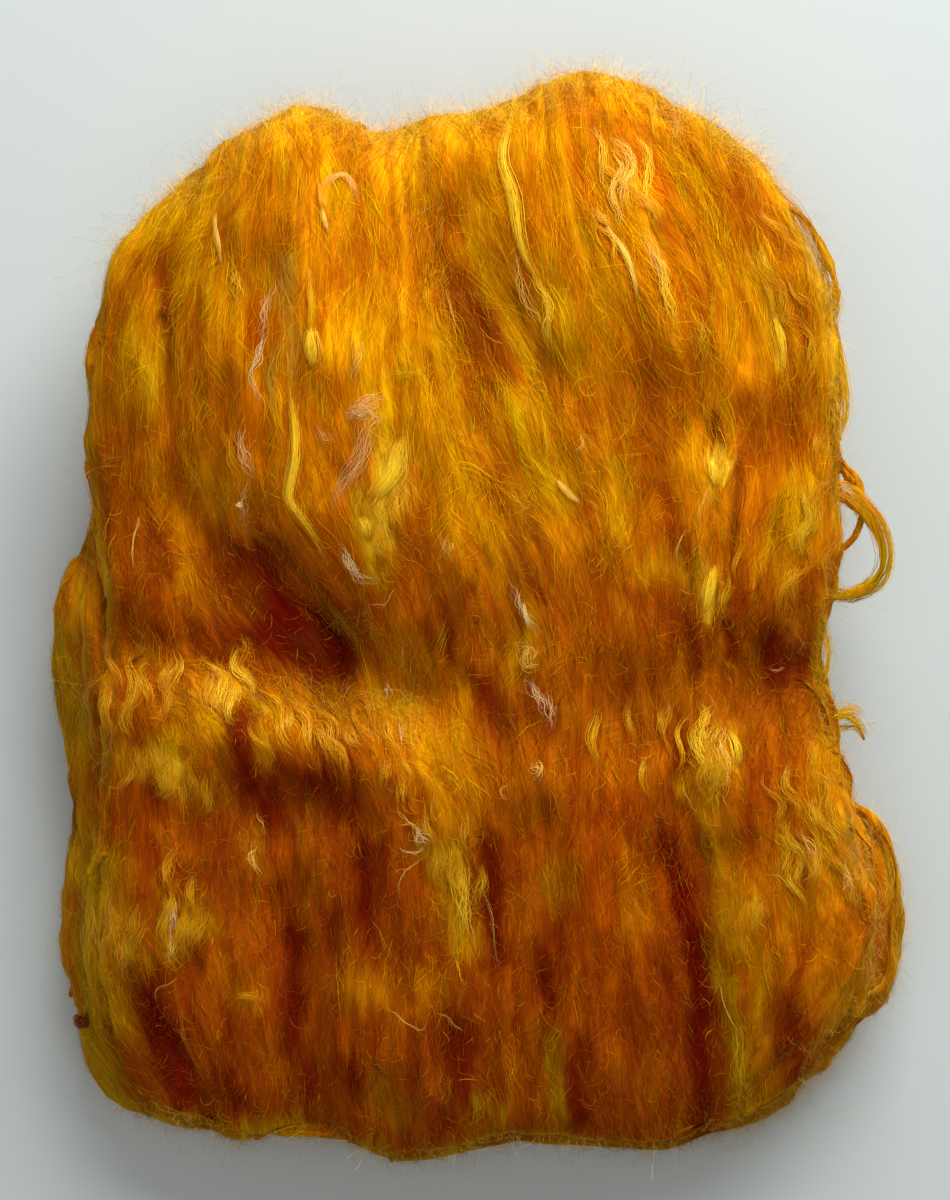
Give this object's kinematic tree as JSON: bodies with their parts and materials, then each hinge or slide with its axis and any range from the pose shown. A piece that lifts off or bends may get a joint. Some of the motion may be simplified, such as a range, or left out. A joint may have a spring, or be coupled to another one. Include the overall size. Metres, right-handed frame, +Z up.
{
  "type": "silk batt",
  "caption": "Carded batt of dyed silk fibre, folded back and forth into a soft flat pad with rounded ends and stray curls at its rim.",
  "frame": {"origin": "middle of the footprint, on the surface that the batt lies on", "axes": "+Z up, +Y along the fibres towards the upper rounded fold, +X across the batt to its right side"},
  "size_m": [0.2192, 0.2712, 0.0624],
  "materials": {
    "silk_fibre": "carded silk fibre, dyed gold, amber and rust, with a soft sheen along the fibres"
  },
  "bodies": {
    "root": {"batt": "silk_fibre"}
  },
  "joints": []
}
